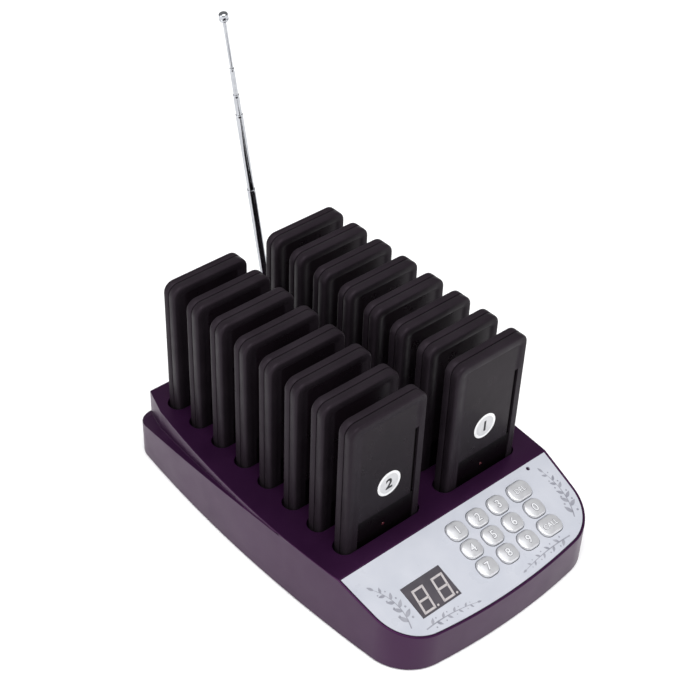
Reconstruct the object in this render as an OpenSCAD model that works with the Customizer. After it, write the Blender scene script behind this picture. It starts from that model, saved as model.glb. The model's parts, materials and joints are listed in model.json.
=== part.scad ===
// Guest pager system: a charging base with a keypad, a telescopic antenna and
// sixteen coaster-thin pagers that stand in two columns of pockets.
// Millimetres, +Z up, the keypad faces -Y. The origin is on the table, under
// the middle of the whole object.

/* [Pagers] */
// Width of a pager
pager_w = 48.2; // [44:0.1:52]
// Thickness of a pager
pager_t = 9.5; // [8.5:0.1:11]
// Height of a pager that shows above the deck
pager_show = 79.5; // [60:0.5:90]
// Radius of a pager's corners, seen from the front
pager_corner_r = 6; // [4:0.5:8]
// Rounding round the edge of a pager's two faces
pager_edge_r = 1.5; // [0.8:0.1:2]
// Width of the joint line between a pager's two half shells
seam_w = 0.5; // [0.3:0.1:0.8]
// Depth of that joint line
seam_depth = 0.6; // [0.3:0.1:1]
// Plain frame beside and above the pager's window
window_frame = 4.6; // [3:0.1:7]
// Depth of the window below the front face
window_depth = 1.3; // [0.6:0.1:2]

/* [Pockets] */
// Depth of a pocket, deck to floor
pocket_depth = 20; // [16:1:22]
// Depth of the wide mouth at the top of a pocket
mouth_depth = 7; // [4:0.5:10]
// Room beside a pager in the mouth
mouth_side_gap = 2.6; // [2:0.1:5]
// Room before and behind a pager in the mouth
mouth_face_gap = 0.9; // [0.6:0.1:3]
// Corner radius of the mouth
mouth_r = 5.4; // [3:0.1:5.6]
// Clearance all round a pager in its seat
seat_gap = 0.35; // [0.3:0.05:0.6]
// Deck between one mouth and the next in a column
row_web = 8.1; // [4:0.1:9]
// Deck between the two columns
column_web = 13.9; // [11:0.1:16]

/* [Base] */
// Height of the deck above the table
deck_h = 37.8; // [36:0.1:44]
// Width of the base where it bulges most
base_w = 150.4; // [148:0.2:160]
// Radius of the bowed side walls
side_r = 832; // [600:1:1500]
// Distance from the front of the base to where it bulges most
bulge_run = 125; // [110:1:140]
// Radius of the bowed front wall
front_r = 363; // [250:1:600]
// Radius of the two front corners
front_corner_r = 25.4; // [20:0.2:34]
// Radius of the rear wall
rear_r = 1500; // [900:1:3000]
// Radius of the two rear corners
rear_corner_r = 11; // [8:0.5:16]
// Length of the keypad slope, front to back, seen from above
slope_run = 48.9; // [47:0.1:60]
// Fall of the keypad slope, in degrees
slope_angle = 18.2; // [14:0.1:20]
// Deck from the top of the slope to the first pocket's mouth
first_row_gap = 9; // [6:0.1:12]
// Base behind the last pocket
rear_margin = 15.5; // [13:0.1:20]
// Ledge behind the raised deck block
rear_ledge = 3.5; // [3:0.1:5]
// Fall of the ledge where it starts, in degrees
ledge_angle = 2; // [1:0.1:4]
// Radius of the ledge's curve towards the rear
ledge_r = 986; // [800:1:2000]
// Distance behind the keypad slope at which the ledge leaves the deck
ledge_start = 22; // [18:1:40]
// Distance behind that line at which the raised block's side leaves the wall
ledge_lead = 16; // [12:1:24]
// Most that the raised block draws in from the side wall, before its rear corner
block_tuck = 5.2; // [3:0.1:5.5]
// Sideways cut of the raised block's rear corner
block_corner_in = 5.4; // [3:0.1:6]
// Front to back length of that cut
block_corner_run = 17; // [10:0.5:20]
// Wall thickness of the base
wall_t = 2.4; // [2:0.1:3]
// Thickness of the deck, ledge and keypad slope
top_t = 2; // [1.6:0.1:2.6]
// Wall round a pocket
tub_t = 2; // [1.6:0.1:2.4]

/* [Bottom cover and feet] */
// Gap under the base's wall
foot_show = 0.8; // [0.5:0.1:2]
// Thickness of the bottom cover
cover_t = 2.6; // [2.4:0.1:3.4]
// Clearance round the bottom cover
cover_gap = 0.15; // [0.1:0.05:0.3]
// Depth of the seat of a rubber foot
foot_seat = 1; // [0.6:0.1:1.4]
// Radius of a rubber foot
foot_r = 6; // [4:0.5:8]
// Radius of a screw's shank
screw_r = 1.3; // [1:0.1:1.6]
// Radius of a screw's head
screw_head_r = 2.6; // [2.3:0.1:3]
// Height of a screw's head
screw_head_h = 1.5; // [1:0.1:1.6]
// Length of a screw's shank
screw_l = 9; // [6:0.5:10]
// Wall round a screw in its boss
boss_t = 2; // [1.6:0.1:2.6]
// Distance of the front screws in front of the top of the keypad slope
front_screw_run = 20; // [16:0.5:26]
// Distance of a front foot towards the middle from its corner's centre
foot_front_in = 3; // [0:0.5:8]
// Distance of a rear foot towards the middle from its corner's centre
foot_rear_in = 8; // [4:0.5:14]
// Distance of a rear foot towards the front from its corner's centre
foot_rear_run = 10; // [6:0.5:16]
// Length of a slot of the cross in a screw's head
cross_l = 3; // [2.4:0.1:3.4]
// Width of those slots
cross_w = 0.7; // [0.5:0.1:0.9]
// Depth of those slots
cross_depth = 0.8; // [0.5:0.1:1]

/* [Keypad panel] */
// Bare slope above the keypad panel
panel_v = 0.6; // [0.4:0.1:4]
// Rim between the wall and the keypad panel
panel_inset = 1.3; // [1:0.1:4]
// Depth of the panel's recess
panel_recess = 1.4; // [1.2:0.1:2]
// Thickness of the panel
panel_t = 1.2; // [1:0.1:1.2]
// Clearance round the panel
panel_gap = 0.15; // [0.1:0.05:0.3]
// Width of the display
display_w = 25.1; // [22:0.1:28]
// Height of the display, down the slope
display_l = 17.6; // [15:0.1:19]
// Middle of the display, left of the panel's middle
display_x = 36; // [33:0.1:40]
// Middle of the display, down from the panel's top edge
display_v = 28.4; // [26:0.1:31]
// Middle of the first key, left of the panel's middle
key_first_x = 2.6; // [0:0.1:4]
// Middle of the first row of keys, down from the panel's top edge
key_first_v = 10.5; // [9:0.1:13]
// Distance from one key to the next across the panel
key_pitch_x = 14.3; // [14:0.1:15.5]
// Distance from the third column to the wide keys
wide_pitch_x = 15.7; // [15.5:0.1:17]
// Distance from one row of keys to the next
key_pitch_v = 11.6; // [11.4:0.1:12.4]
// Width of a number key
key_w = 11.3; // [10:0.1:11.6]
// Width of the delete and call keys
wide_key_w = 14; // [12:0.1:14.3]
// Height of a key, down the slope
key_l = 10.2; // [8.6:0.1:10.4]
// Corner radius of a key
key_r = 4.1; // [3:0.1:4.2]
// Height of a key above the slope
key_show = 1.5; // [1:0.1:2.5]
// Travel of a key
key_travel = 1.2; // [0.6:0.1:1.4]
// Rounding round the top of a key
key_edge_r = 1.1; // [0.6:0.1:1.4]
// Clearance round a key in the panel
key_gap = 0.3; // [0.25:0.05:0.4]
// Reach of the two tabs that hold a key under the panel
key_tab = 0.8; // [0.6:0.05:0.9]
// Thickness of those tabs
key_tab_t = 0.8; // [0.6:0.1:1]
// Radius of the sounder hole in the panel
sounder_r = 1.1; // [0.8:0.1:1.5]
// Middle of that hole, right of the panel's middle
sounder_x = 55.5; // [50:0.5:60]
// Middle of that hole, down from the panel's top edge
sounder_v = 3; // [2.5:0.1:5]

/* [Electronics] */
// Depth of the keypad's circuit board below the slope
board_depth = 7.6; // [7:0.1:9]
// Thickness of a circuit board
board_t = 1.6; // [1:0.1:2]
// Thickness of the silicone key mat
mat_t = 1; // [0.8:0.1:1.5]
// Radius of the posts that hold that board
post_r = 2.2; // [1.8:0.1:2.6]
// Gap between those posts and the display or the keys' opening
post_gap = 0.6; // [0.5:0.1:1]
// Room between a pressed key and the mat's dome
dome_gap = 0.2; // [0.2:0.05:0.5]
// Radius of a dome
dome_r = 3; // [2:0.1:4]
// Distance between a pocket's two charging contacts
contact_pitch = 28; // [20:1:36]
// Radius of a contact's tip
contact_r = 0.8; // [0.6:0.1:1]
// Height of a contact's tip above the pocket floor
contact_show = 1.2; // [0.8:0.1:1.6]
// Rounding of a contact's tip
contact_edge_r = 0.3; // [0.1:0.1:0.4]
// Radius of a contact's foot, under the pocket
contact_foot_r = 1.6; // [1.4:0.1:2]
// Height of that foot, from the contact strip to the pocket
contact_foot_h = 3; // [2:0.5:4]
// Contact strip before the first contact and behind the last
strip_margin = 3; // [2.5:0.5:4]
// Radius of the power jack's mouth
jack_r = 2.8; // [2.6:0.05:3.2]
// Radius of the power jack's pin
jack_pin_r = 1; // [0.6:0.05:1.2]
// Radius of the power jack's nose in the wall
jack_nose_r = 3.9; // [3.8:0.1:4.2]
// Width and height of the power jack's body
jack_body = 9; // [8.5:0.5:10]
// Length of that body
jack_l = 11; // [10:0.5:12]
// Gap between that body and the rear wall
jack_set = 0.6; // [0.5:0.1:1.5]
// Depth of the jack's nose below the outside of the wall
jack_nose_depth = 0.6; // [0.3:0.1:1]
// Depth of the tip of its pin below the outside of the wall
jack_pin_depth = 1.6; // [1:0.1:3]
// Distance of the power jack from the middle of the rear wall
jack_x = 30; // [20:1:45]

/* [Antenna] */
// Lean of the antenna to the left, in degrees
antenna_lean = 8.6; // [0:0.1:20]
// Distance of the antenna's pivot from the middle of the rear wall
antenna_x = 34.4; // [26:0.1:40]
// Height of the antenna's pivot
antenna_z = 14; // [12.5:0.1:14.5]
// Diameter of the thickest tube
tube_d = 4.6; // [4:0.1:6]
// Step in diameter from one tube to the next
tube_step = 0.7; // [0.6:0.02:0.8]
// Running clearance between two tubes
tube_gap = 0.05; // [0.02:0.01:0.08]
// Length of the thickest tube, from the pivot
tube_l = 121; // [110:0.1:130]
// How much shorter the second tube is than the thickest
tube_stop = 10.9; // [8:0.1:14]
// How much shorter each next tube is
tube_shorter = 3; // [2:0.1:4]
// Length of the second tube that shows
show_2 = 49; // [5:0.1:90]
// Length of the third tube that shows
show_3 = 12.2; // [5:0.1:90]
// Length of the fourth tube that shows
show_4 = 15.9; // [5:0.1:85]
// Length of the fifth tube that shows
show_5 = 27.5; // [5:0.1:80]
// Radius of the cap at the antenna's tip
cap_r = 2.4; // [2:0.1:3]
// Height of that cap
cap_h = 4.4; // [3:0.1:6]
// Radius of the knuckle at the antenna's foot
knuckle_r = 4.3; // [4:0.1:4.8]
// Thickness of that knuckle
knuckle_t = 7; // [6.6:0.1:9]
// Gap between the knuckle and the rear wall
knuckle_gap = 0.3; // [0.3:0.05:0.6]
// Radius of the knuckle's pivot pin
pivot_r = 2.5; // [2:0.1:3]
// Running clearance of that pin
pivot_gap = 0.05; // [0.02:0.01:0.08]
// Wall round that pin in the housing
pivot_wall = 2.5; // [2:0.1:3]

/* [Hidden] */
$fn = 48;
rows = 8;
columns = 2;
key_rows = 3;
key_columns = 4;
tube_count = 5;
eps = 0.01;
far = 400;

// Small clearances and margins
ledge_end = 75;         // direction, from the ledge's centre, where its curve ends
strip_side = 4;         // contact strip beside the outer contacts
field_room = 0.6;       // keys' opening beyond their tabs
board_over_keys = 2;    // keypad board above the keys' opening
board_below_keys = 1;   // keypad board below it
well_gap = 0.7;         // round a contact's tip in a pager's foot
well_extra = 1;         // above that tip
collar_t = 0.3;         // collar of a contact in the pocket's floor
screw_gap = 0.2;        // round a screw's shank in the bottom cover
head_gap = 0.3;         // round its head
head_set = 0.1;         // head below the underside of the cover
cap_edge = 0.6;         // chamfer of the antenna's cap

// Pockets and pagers
mouth_w = pager_w + 2 * mouth_side_gap;
mouth_t = pager_t + 2 * mouth_face_gap;
row_pitch = mouth_t + row_web;
column_x = (mouth_w + column_web) / 2;
floor_z = deck_h - pocket_depth;
pager_h = pager_show + pocket_depth;
contact_y = pager_t / 4 + seam_w / 4;
contact_well_r = contact_r + well_gap;
contact_well_h = contact_show + well_extra;
strip_z = floor_z - tub_t - contact_foot_h - board_t;
strip_w = contact_pitch + 2 * strip_side;
boss_x = column_x + strip_w / 2 + screw_r + boss_t + post_gap;
window_foot = pocket_depth - mouth_depth + 1;

// Plan of the base
base_l = slope_run + first_row_gap + (rows - 1) * row_pitch + mouth_t + rear_margin;
antenna_reach = knuckle_gap + knuckle_t;
front_y = -(base_l + antenna_reach) / 2;
rear_y = front_y + base_l;
slope_y = front_y + slope_run;
first_row_y = slope_y + first_row_gap + mouth_t / 2;
last_row_y = first_row_y + (rows - 1) * row_pitch;
widest_y = front_y + bulge_run;
side_c = [base_w / 2 - side_r, widest_y];
front_c = [0, front_y + front_r];
rear_c = [0, rear_y - rear_r];

// Heights
wall_z = foot_show;
cover_top = wall_z + cover_t;
block_rear_y = rear_y - rear_ledge;
jack_z = cover_top + jack_body / 2;
tuck_end_y = block_rear_y - block_corner_run;
ledge_y = slope_y + ledge_start;
leave_y = ledge_y + ledge_lead;
ledge_c = [ledge_y - ledge_r * sin(ledge_angle), deck_h - ledge_r * cos(ledge_angle)];

// Keypad stack, as heights above the slope
shelf_top = -panel_recess;
shelf_foot = shelf_top - top_t;
tab_foot = shelf_top - key_tab_t;
dome_top = tab_foot - key_travel - dome_gap;
board_top = -board_depth;
field_margin = key_tab + key_gap + field_room;
field_x0 = -key_first_x - key_w / 2 - field_margin;
field_x1 = key_x(key_columns - 1) + wide_key_w / 2 + field_margin;
field_v0 = key_v(0) - key_l / 2 - field_margin;
field_v1 = key_v(key_rows - 1) + key_l / 2 + field_margin;
board_x0 = -display_x - display_w / 2 - 2 * post_r - post_gap;
board_x1 = field_x1 + 2 * post_r + post_gap;
glass_v = panel_v + display_v;
board_v0 = field_v0 - board_over_keys;
board_v1 = field_v1 + board_below_keys;
front_boss_x = board_x1 + screw_r + boss_t + post_gap;

// Antenna
antenna_y = rear_y + knuckle_gap + knuckle_t / 2;
shows = [0, show_2, show_3, show_4, show_5];
bore_foot = 6;

PAGERS = [for (c = [0:columns - 1]) for (r = [0:rows - 1]) 1 + c * rows + r];
KEYS = ["1", "2", "3", "del", "4", "5", "6", "0", "7", "8", "9", "call"];

// ---------- Shared geometry ----------

// Middle of a circle of radius r that touches two larger circles from inside
function tangent_centre(c1, r1, c2, r2, r) =
    let (a = r1 - r, b = r2 - r, d = norm(c2 - c1), u = (c2 - c1) / d)
    let (along = (a * a - b * b + d * d) / (2 * d), off = sqrt(a * a - along * along))
    let (p = c1 + along * u, q = off * [-u[1], u[0]])
    p[0] + q[0] > 0 ? p + q : p - q;

function heading(from, to) = atan2(to[1] - from[1], to[0] - from[0]);

function arc(c, r, a0, a1, steps) =
    [for (i = [0:steps]) let (a = a0 + (a1 - a0) * i / steps) c + r * [cos(a), sin(a)]];

front_corner_c = tangent_centre(side_c, side_r, front_c, front_r, front_corner_r);
rear_corner_c = tangent_centre(side_c, side_r, rear_c, rear_r, rear_corner_r);

// Right half of the base's outline, drawn in by t, from the front to the rear
function half_outline(t) = concat(
    arc(front_c, front_r - t, -90, heading(front_c, front_corner_c), 12),
    arc(front_corner_c, front_corner_r - t,
        heading(front_c, front_corner_c), heading(side_c, front_corner_c), 20),
    arc(side_c, side_r - t, heading(side_c, front_corner_c), heading(side_c, rear_corner_c), 24),
    arc(rear_corner_c, rear_corner_r - t,
        heading(side_c, rear_corner_c), heading(rear_c, rear_corner_c), 10),
    arc(rear_c, rear_r - t, heading(rear_c, rear_corner_c), 90, 2));

function mirrored(points) =
    concat(points, [for (i = [len(points) - 2:-1:1]) [-points[i][0], points[i][1]]]);

function side_half(y) = side_c[0] + sqrt(side_r * side_r - (y - widest_y) * (y - widest_y));

// Half width of the raised block, which draws in ever faster from where it leaves the wall
function block_half(y) =
    let (s = (y - leave_y) / (tuck_end_y - leave_y))
    side_half(y) - block_tuck * (s + s * s) / 2;

function key_x(column) = column < 3 ? -key_first_x + column * key_pitch_x
                                    : -key_first_x + 2 * key_pitch_x + wide_pitch_x;
function key_v(row) = panel_v + key_first_v + row * key_pitch_v;
function key_width(column, row) = column == 3 && row != 1 ? wide_key_w : key_w;

module outline(t) {
    polygon(mirrored(half_outline(t)));
}

module slab(t, z0, z1) {
    translate([0, 0, z0]) linear_extrude(z1 - z0) outline(t);
}

module rounded_rect(w, l, r) {
    square([w - 2 * r, l], center = true);
    square([w, l - 2 * r], center = true);
    for (x = [-1, 1], y = [-1, 1])
        translate([x * (w / 2 - r), y * (l / 2 - r)]) circle(r);
}

// Frame of the keypad slope: x to the right, -y down the slope, z out of it
module on_slope() {
    translate([0, slope_y, deck_h]) rotate([slope_angle, 0, 0]) children();
}

// Everything above the keypad slope, from a height h over it
module above_slope(h) {
    on_slope() translate([-far / 2, -far / 2, h]) cube([far, far / 2 + 2, far / 4]);
}

// Everything above the ledge that curves down towards the rear, from a height h over it
module above_ledge(h) {
    lead = 2 * ledge_angle;
    fall = arc(ledge_c, ledge_r + h, 90 - ledge_angle + lead, ledge_end, 26);
    translate([-far / 2, 0, 0]) rotate([90, 0, 90]) linear_extrude(far)
        polygon(concat(fall, [[far, deck_h], [far, far], [fall[0][0], far]]));
}

module block_plan() {
    steps = 10;
    start_y = ledge_y + 2;
    side = [for (i = [0:steps]) let (y = start_y + (tuck_end_y - start_y) * i / steps) [block_half(y), y]];
    corner = [block_half(tuck_end_y) - block_corner_in, block_rear_y];
    right = concat([[0, start_y]], side, [corner, [0, block_rear_y]]);
    polygon(mirrored(right));
}

module at_pockets() {
    for (c = [-1, 1], r = [0:rows - 1])
        translate([c * column_x, first_row_y + r * row_pitch, 0]) children();
}

module at_bosses() {
    for (s = [-1, 1]) {
        translate([s * boss_x, first_row_y + 1.5 * row_pitch]) children();
        translate([s * boss_x, last_row_y - 1.5 * row_pitch]) children();
        translate([s * front_boss_x, slope_y - front_screw_run]) children();
    }
}

module at_feet() {
    for (s = [-1, 1]) {
        translate([s * (front_corner_c[0] - foot_front_in), front_corner_c[1]]) children();
        translate([s * (rear_corner_c[0] - foot_rear_in), rear_corner_c[1] - foot_rear_run]) children();
    }
}

// Charging contacts stand under the rear shell of each pager
module at_contacts() {
    at_pockets() for (s = [-1, 1])
        translate([s * contact_pitch / 2, contact_y, floor_z]) children();
}

module at_board_posts() {
    for (x = [board_x0 + post_r, board_x1 - post_r], v = [board_v0 + post_r, board_v1 - post_r])
        translate([x, -v, 0]) children();
}

// ---------- Base ----------

// Outside of the housing: bowed walls, raised block, ledge and keypad slope
module housing_form() {
    difference() {
        slab(0, wall_z, deck_h);
        above_slope(0);
        difference() {
            above_ledge(0);
            linear_extrude(far) block_plan();
        }
    }
}

module pocket() {
    translate([0, 0, deck_h - mouth_depth])
        linear_extrude(mouth_depth + 1) rounded_rect(mouth_w, mouth_t, mouth_r);
    translate([0, 0, floor_z])
        linear_extrude(pocket_depth) rounded_rect(pager_w + 2 * seat_gap, pager_t + 2 * seat_gap, 1);
}

// One block of pockets hangs from the deck under each column
module tubs() {
    for (c = [-1, 1])
        translate([c * column_x, (first_row_y + last_row_y) / 2, floor_z - tub_t])
            linear_extrude(pocket_depth + tub_t)
                rounded_rect(mouth_w + 2 * tub_t, last_row_y - first_row_y + mouth_t + 2 * tub_t, mouth_r);
}

module screw_bosses() {
    intersection() {
        at_bosses() translate([0, 0, cover_top]) cylinder(r = screw_r + boss_t, h = far / 4);
        difference() {
            slab(wall_t / 2, wall_z, deck_h - top_t / 2);
            above_slope(shelf_top - top_t / 2);
        }
    }
}

// Hollow under the deck, the ledge and the keypad slope
module hollow() {
    difference() {
        slab(wall_t, cover_top, deck_h - top_t);
        above_slope(shelf_foot);
        above_ledge(-top_t);
        tubs();
        screw_bosses();
        translate([antenna_x, rear_y, antenna_z]) rotate([90, 0, 0])
            cylinder(r = pivot_r + pivot_wall, h = knuckle_t + 1);
    }
}

// Opening round the display, up from a height z over the slope
module display_hole(z) {
    w = display_w + 2 * panel_gap;
    l = display_l + 2 * panel_gap;
    translate([-display_x - w / 2, -glass_v - l / 2, z]) cube([w, l, far / 4]);
}

module keypad_openings() {
    on_slope() {
        translate([field_x0, -field_v1, shelf_foot - 1])
            cube([field_x1 - field_x0, field_v1 - field_v0, far / 4]);
        display_hole(shelf_foot - 1);
    }
}

// Panel area of the slope between heights z0 and z1, clear of its top edge by rear_gap
module panel_form(inset, z0, z1, rear_gap) {
    intersection() {
        linear_extrude(far / 4) intersection() {
            outline(inset);
            translate([-far / 2, slope_y - panel_v * cos(slope_angle) - rear_gap - far]) square([far, far]);
        }
        on_slope() translate([-far / 2, -far / 2, z0]) cube([far, far / 2 + 2, z1 - z0]);
    }
}

module base_upper_shell() {
    color("#3b2342") difference() {
        union() {
            difference() {
                housing_form();
                slab(wall_t / 2, wall_z - 1, cover_top);
                hollow();
                panel_form(panel_inset, shelf_top, far / 8, 0);
            }
            on_slope() at_board_posts() translate([0, 0, board_top])
                cylinder(r = post_r, h = board_depth + shelf_top - top_t / 2);
            translate([antenna_x, rear_y, antenna_z]) rotate([90, 0, 0])
                cylinder(r = pivot_r + pivot_wall, h = wall_t);
        }
        at_pockets() pocket();
        keypad_openings();
        at_contacts() translate([0, 0, -tub_t - 1]) cylinder(r = contact_r + collar_t, h = tub_t + 2);
        at_bosses() cylinder(r = screw_r, h = cover_top + screw_l);
        translate([antenna_x, rear_y + 1, antenna_z]) rotate([90, 0, 0])
            cylinder(r = pivot_r + pivot_gap, h = knuckle_t + 1);
        translate([-jack_x, rear_y + 1, jack_z]) rotate([90, 0, 0]) cylinder(r = jack_nose_r, h = far / 40);
    }
}

module base_lower_shell() {
    color("#2b1a31") difference() {
        slab(wall_t / 2 + cover_gap, wall_z, cover_top);
        at_feet() translate([0, 0, wall_z - eps]) cylinder(r = foot_r, h = foot_seat + eps);
        at_bosses() {
            translate([0, 0, wall_z - 1]) cylinder(r = screw_r + screw_gap, h = cover_t + 2);
            translate([0, 0, wall_z - 1])
                cylinder(r = screw_head_r + head_gap, h = screw_head_h + head_set + 1);
        }
    }
}

module rubber_feet() {
    color("#1c1c1e") at_feet() cylinder(r = foot_r, h = foot_show + foot_seat);
}

module base_screws() {
    color("#9a9a9e") at_bosses() {
        translate([0, 0, wall_z + head_set]) difference() {
            cylinder(r = screw_head_r, h = screw_head_h);
            for (a = [0, 90])
                rotate(a) translate([-cross_l / 2, -cross_w / 2, -1])
                    cube([cross_l, cross_w, 1 + cross_depth]);
        }
        translate([0, 0, wall_z + head_set + screw_head_h]) cylinder(r = screw_r, h = screw_l);
    }
}

// ---------- Keypad ----------

module at_key(column, row) {
    on_slope() translate([key_x(column), -key_v(row), 0]) children();
}

module panel_plate() {
    color("#cfd3de") difference() {
        panel_form(panel_inset + panel_gap, shelf_top, shelf_top + panel_t, panel_gap);
        for (column = [0:key_columns - 1], row = [0:key_rows - 1])
            at_key(column, row) translate([0, 0, -far / 8]) linear_extrude(far / 4)
                rounded_rect(key_width(column, row) + 2 * key_gap, key_l + 2 * key_gap, key_r + key_gap);
        on_slope() {
            display_hole(-far / 8);
            translate([sounder_x, -panel_v - sounder_v, -far / 8]) cylinder(r = sounder_r, h = far / 4);
        }
    }
}

module display_module() {
    face = shelf_top + panel_t - 0.1;
    color("#3a3a40") on_slope()
        translate([-display_x - display_w / 2, -glass_v - display_l / 2, board_top])
            cube([display_w, display_l, face - board_top]);
}

module key_mat() {
    color("#d8d8d8") on_slope() {
        translate([field_x0 + 0.5, -field_v1 + 0.5, board_top])
            cube([field_x1 - field_x0 - 1, field_v1 - field_v0 - 1, mat_t]);
        for (column = [0:key_columns - 1], row = [0:key_rows - 1])
            translate([key_x(column), -key_v(row), board_top])
                cylinder(r1 = dome_r, r2 = dome_r - 1, h = dome_top - board_top);
    }
}

// Keypad board under the slope, and a contact strip under each column of pockets
module circuit_boards() {
    color("#1f5c3a") {
        on_slope() translate([board_x0, -board_v1, board_top - board_t])
            cube([board_x1 - board_x0, board_v1 - board_v0, board_t]);
        for (c = [-1, 1])
            translate([c * column_x - strip_w / 2, first_row_y + contact_y - strip_margin, strip_z])
                cube([strip_w, last_row_y - first_row_y + 2 * strip_margin, board_t]);
    }
}

module charge_contacts() {
    color("#c9a24a") at_contacts() rotate_extrude() polygon([
        [0, -tub_t - contact_foot_h],
        [contact_foot_r, -tub_t - contact_foot_h],
        [contact_foot_r, -tub_t],
        [contact_r + collar_t, -tub_t],
        [contact_r + collar_t, 0],
        [contact_r, 0],
        [contact_r, contact_show - contact_edge_r],
        [contact_r - contact_edge_r, contact_show],
        [0, contact_show]]);
}

module power_jack() {
    color("#18181a") translate([-jack_x, rear_y, jack_z]) difference() {
        union() {
            translate([-jack_body / 2, -wall_t - jack_set - jack_l, -jack_body / 2])
                cube([jack_body, jack_l, jack_body]);
            translate([0, -jack_nose_depth, 0]) rotate([90, 0, 0])
                cylinder(r = jack_nose_r, h = wall_t + jack_set);
        }
        translate([0, 1, 0]) rotate([90, 0, 0]) difference() {
            cylinder(r = jack_r, h = wall_t + jack_set + jack_l - 1);
            translate([0, 0, 1 + jack_pin_depth]) cylinder(r = jack_pin_r, h = wall_t + jack_l);
        }
    }
}

// Soft-topped cap with two tabs that sit under the panel
module key(column, row) {
    w = key_width(column, row);
    color("#d9dade") at_key(column, row) {
        hull() {
            for (step = [0, 0.3, 1]) {
                inset = key_edge_r * (1 - sqrt(2 * step - step * step));
                translate([0, 0, key_show - key_edge_r * step - eps]) linear_extrude(eps)
                    rounded_rect(w - 2 * inset, key_l - 2 * inset, key_r - inset, $fn = 32);
            }
            translate([0, 0, tab_foot]) linear_extrude(eps) rounded_rect(w, key_l, key_r, $fn = 32);
        }
        translate([0, 0, tab_foot]) linear_extrude(key_tab_t)
            rounded_rect(w + 2 * (key_gap + key_tab), key_l - key_r, 1);
    }
}

// ---------- Antenna ----------

module in_antenna() {
    translate([antenna_x, antenna_y, antenna_z]) rotate([0, -antenna_lean, 0]) children();
}

function tube_r(k) = tube_d / 2 - (k - 1) * tube_step / 2;
function tube_len(k) = tube_l - tube_stop - (k - 2) * tube_shorter;
function shown(k) = k < 2 ? tube_l : shown(k - 1) + shows[k - 1];

// Round head on the rear wall, with a pin that turns in the housing
module antenna_knuckle() {
    color("#b8bac0") difference() {
        in_antenna() union() {
            rotate([90, 0, 0]) cylinder(r = knuckle_r, h = knuckle_t, center = true);
            rotate([90, 0, 0]) cylinder(r = pivot_r, h = knuckle_t / 2 + knuckle_gap + knuckle_t - 1);
        }
        in_antenna() translate([0, 0, 0.5]) cylinder(r = tube_d / 2, h = knuckle_r + 2);
    }
}

module antenna_tube(k) {
    r = tube_r(k);
    top = shown(k);
    foot = k == 1 ? 0.5 : top - tube_len(k);
    bore = k < tube_count ? tube_r(k + 1) + tube_gap : 0;
    plug = k == 1 ? bore_foot : foot + 1;
    lip = 0.25;
    color("#c4c6cc") in_antenna() {
        rotate_extrude() polygon(k < tube_count
            ? [[0, foot], [r, foot], [r, top - 2 * lip], [r - lip / 2, top],
               [bore, top], [bore, plug], [0, plug]]
            : [[0, foot], [r, foot], [r, top], [cap_r - cap_edge, top], [cap_r, top + cap_edge],
               [cap_r, top + cap_h - cap_edge], [cap_r - cap_edge, top + cap_h], [0, top + cap_h]]);
    }
}

// ---------- Pagers ----------

function pager_place(n) =
    let (c = floor((n - 1) / rows), r = (n - 1) % rows)
    [(c == 0 ? -1 : 1) * column_x, first_row_y + r * row_pitch, floor_z];

// Front view outline of a pager, drawn in by t, standing on its foot
module pager_face(t) {
    translate([0, pager_h / 2])
        rounded_rect(pager_w - 2 * t, pager_h - 2 * t, pager_corner_r - t, $fn = 24);
}

module standing(y0, y1) {
    translate([0, y1, 0]) rotate([90, 0, 0]) linear_extrude(y1 - y0) children();
}

// Half shell from its joint line at y0 to its soft-edged face at y1 = y0 + t
module half_shell(t) {
    hull() {
        standing(0, t - pager_edge_r) pager_face(0);
        standing(t - 0.3 * pager_edge_r - eps, t - 0.3 * pager_edge_r) pager_face(0.3 * pager_edge_r);
        standing(t - eps, t) pager_face(pager_edge_r);
    }
}

module pager_rear_shell(n) {
    color("#161415") translate(pager_place(n)) difference() {
        translate([0, seam_w / 2, 0]) half_shell(pager_t / 2 - seam_w / 2);
        for (s = [-1, 1])
            translate([s * contact_pitch / 2, contact_y, -1])
                cylinder(r = contact_well_r, h = contact_well_h + 1, $fn = 24);
    }
}

module pager_front_shell(n) {
    window_h = pager_h - window_foot - window_frame;
    color("#1b191a") translate(pager_place(n)) difference() {
        union() {
            mirror([0, 1, 0]) translate([0, seam_w / 2, 0]) half_shell(pager_t / 2 - seam_w / 2);
            standing(-seam_w / 2 - eps, seam_w / 2) pager_face(seam_depth);
        }
        translate([0, 0, window_foot + window_h / 2])
            standing(-pager_t, -pager_t / 2 + window_depth)
                rounded_rect(pager_w - 2 * window_frame, window_h, 2, $fn = 24);
    }
}

// ---------- Drawing ----------

base_upper_shell();
base_lower_shell();
rubber_feet();
base_screws();
panel_plate();
display_module();
key_mat();
circuit_boards();
charge_contacts();
power_jack();
antenna_knuckle();
for (k = [1:tube_count])
    antenna_tube(k);
for (i = [0:len(KEYS) - 1])
    key(i % key_columns, floor(i / key_columns));
for (n = PAGERS) {
    pager_front_shell(n);
    pager_rear_shell(n);
}
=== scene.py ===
"""Looks of the guest pager system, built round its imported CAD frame.

Metres, +Z up, the keypad faces -Y. Sizes that repeat a CAD value are written in millimetres
and turned to metres by MM.
"""

import json
import math

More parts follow.
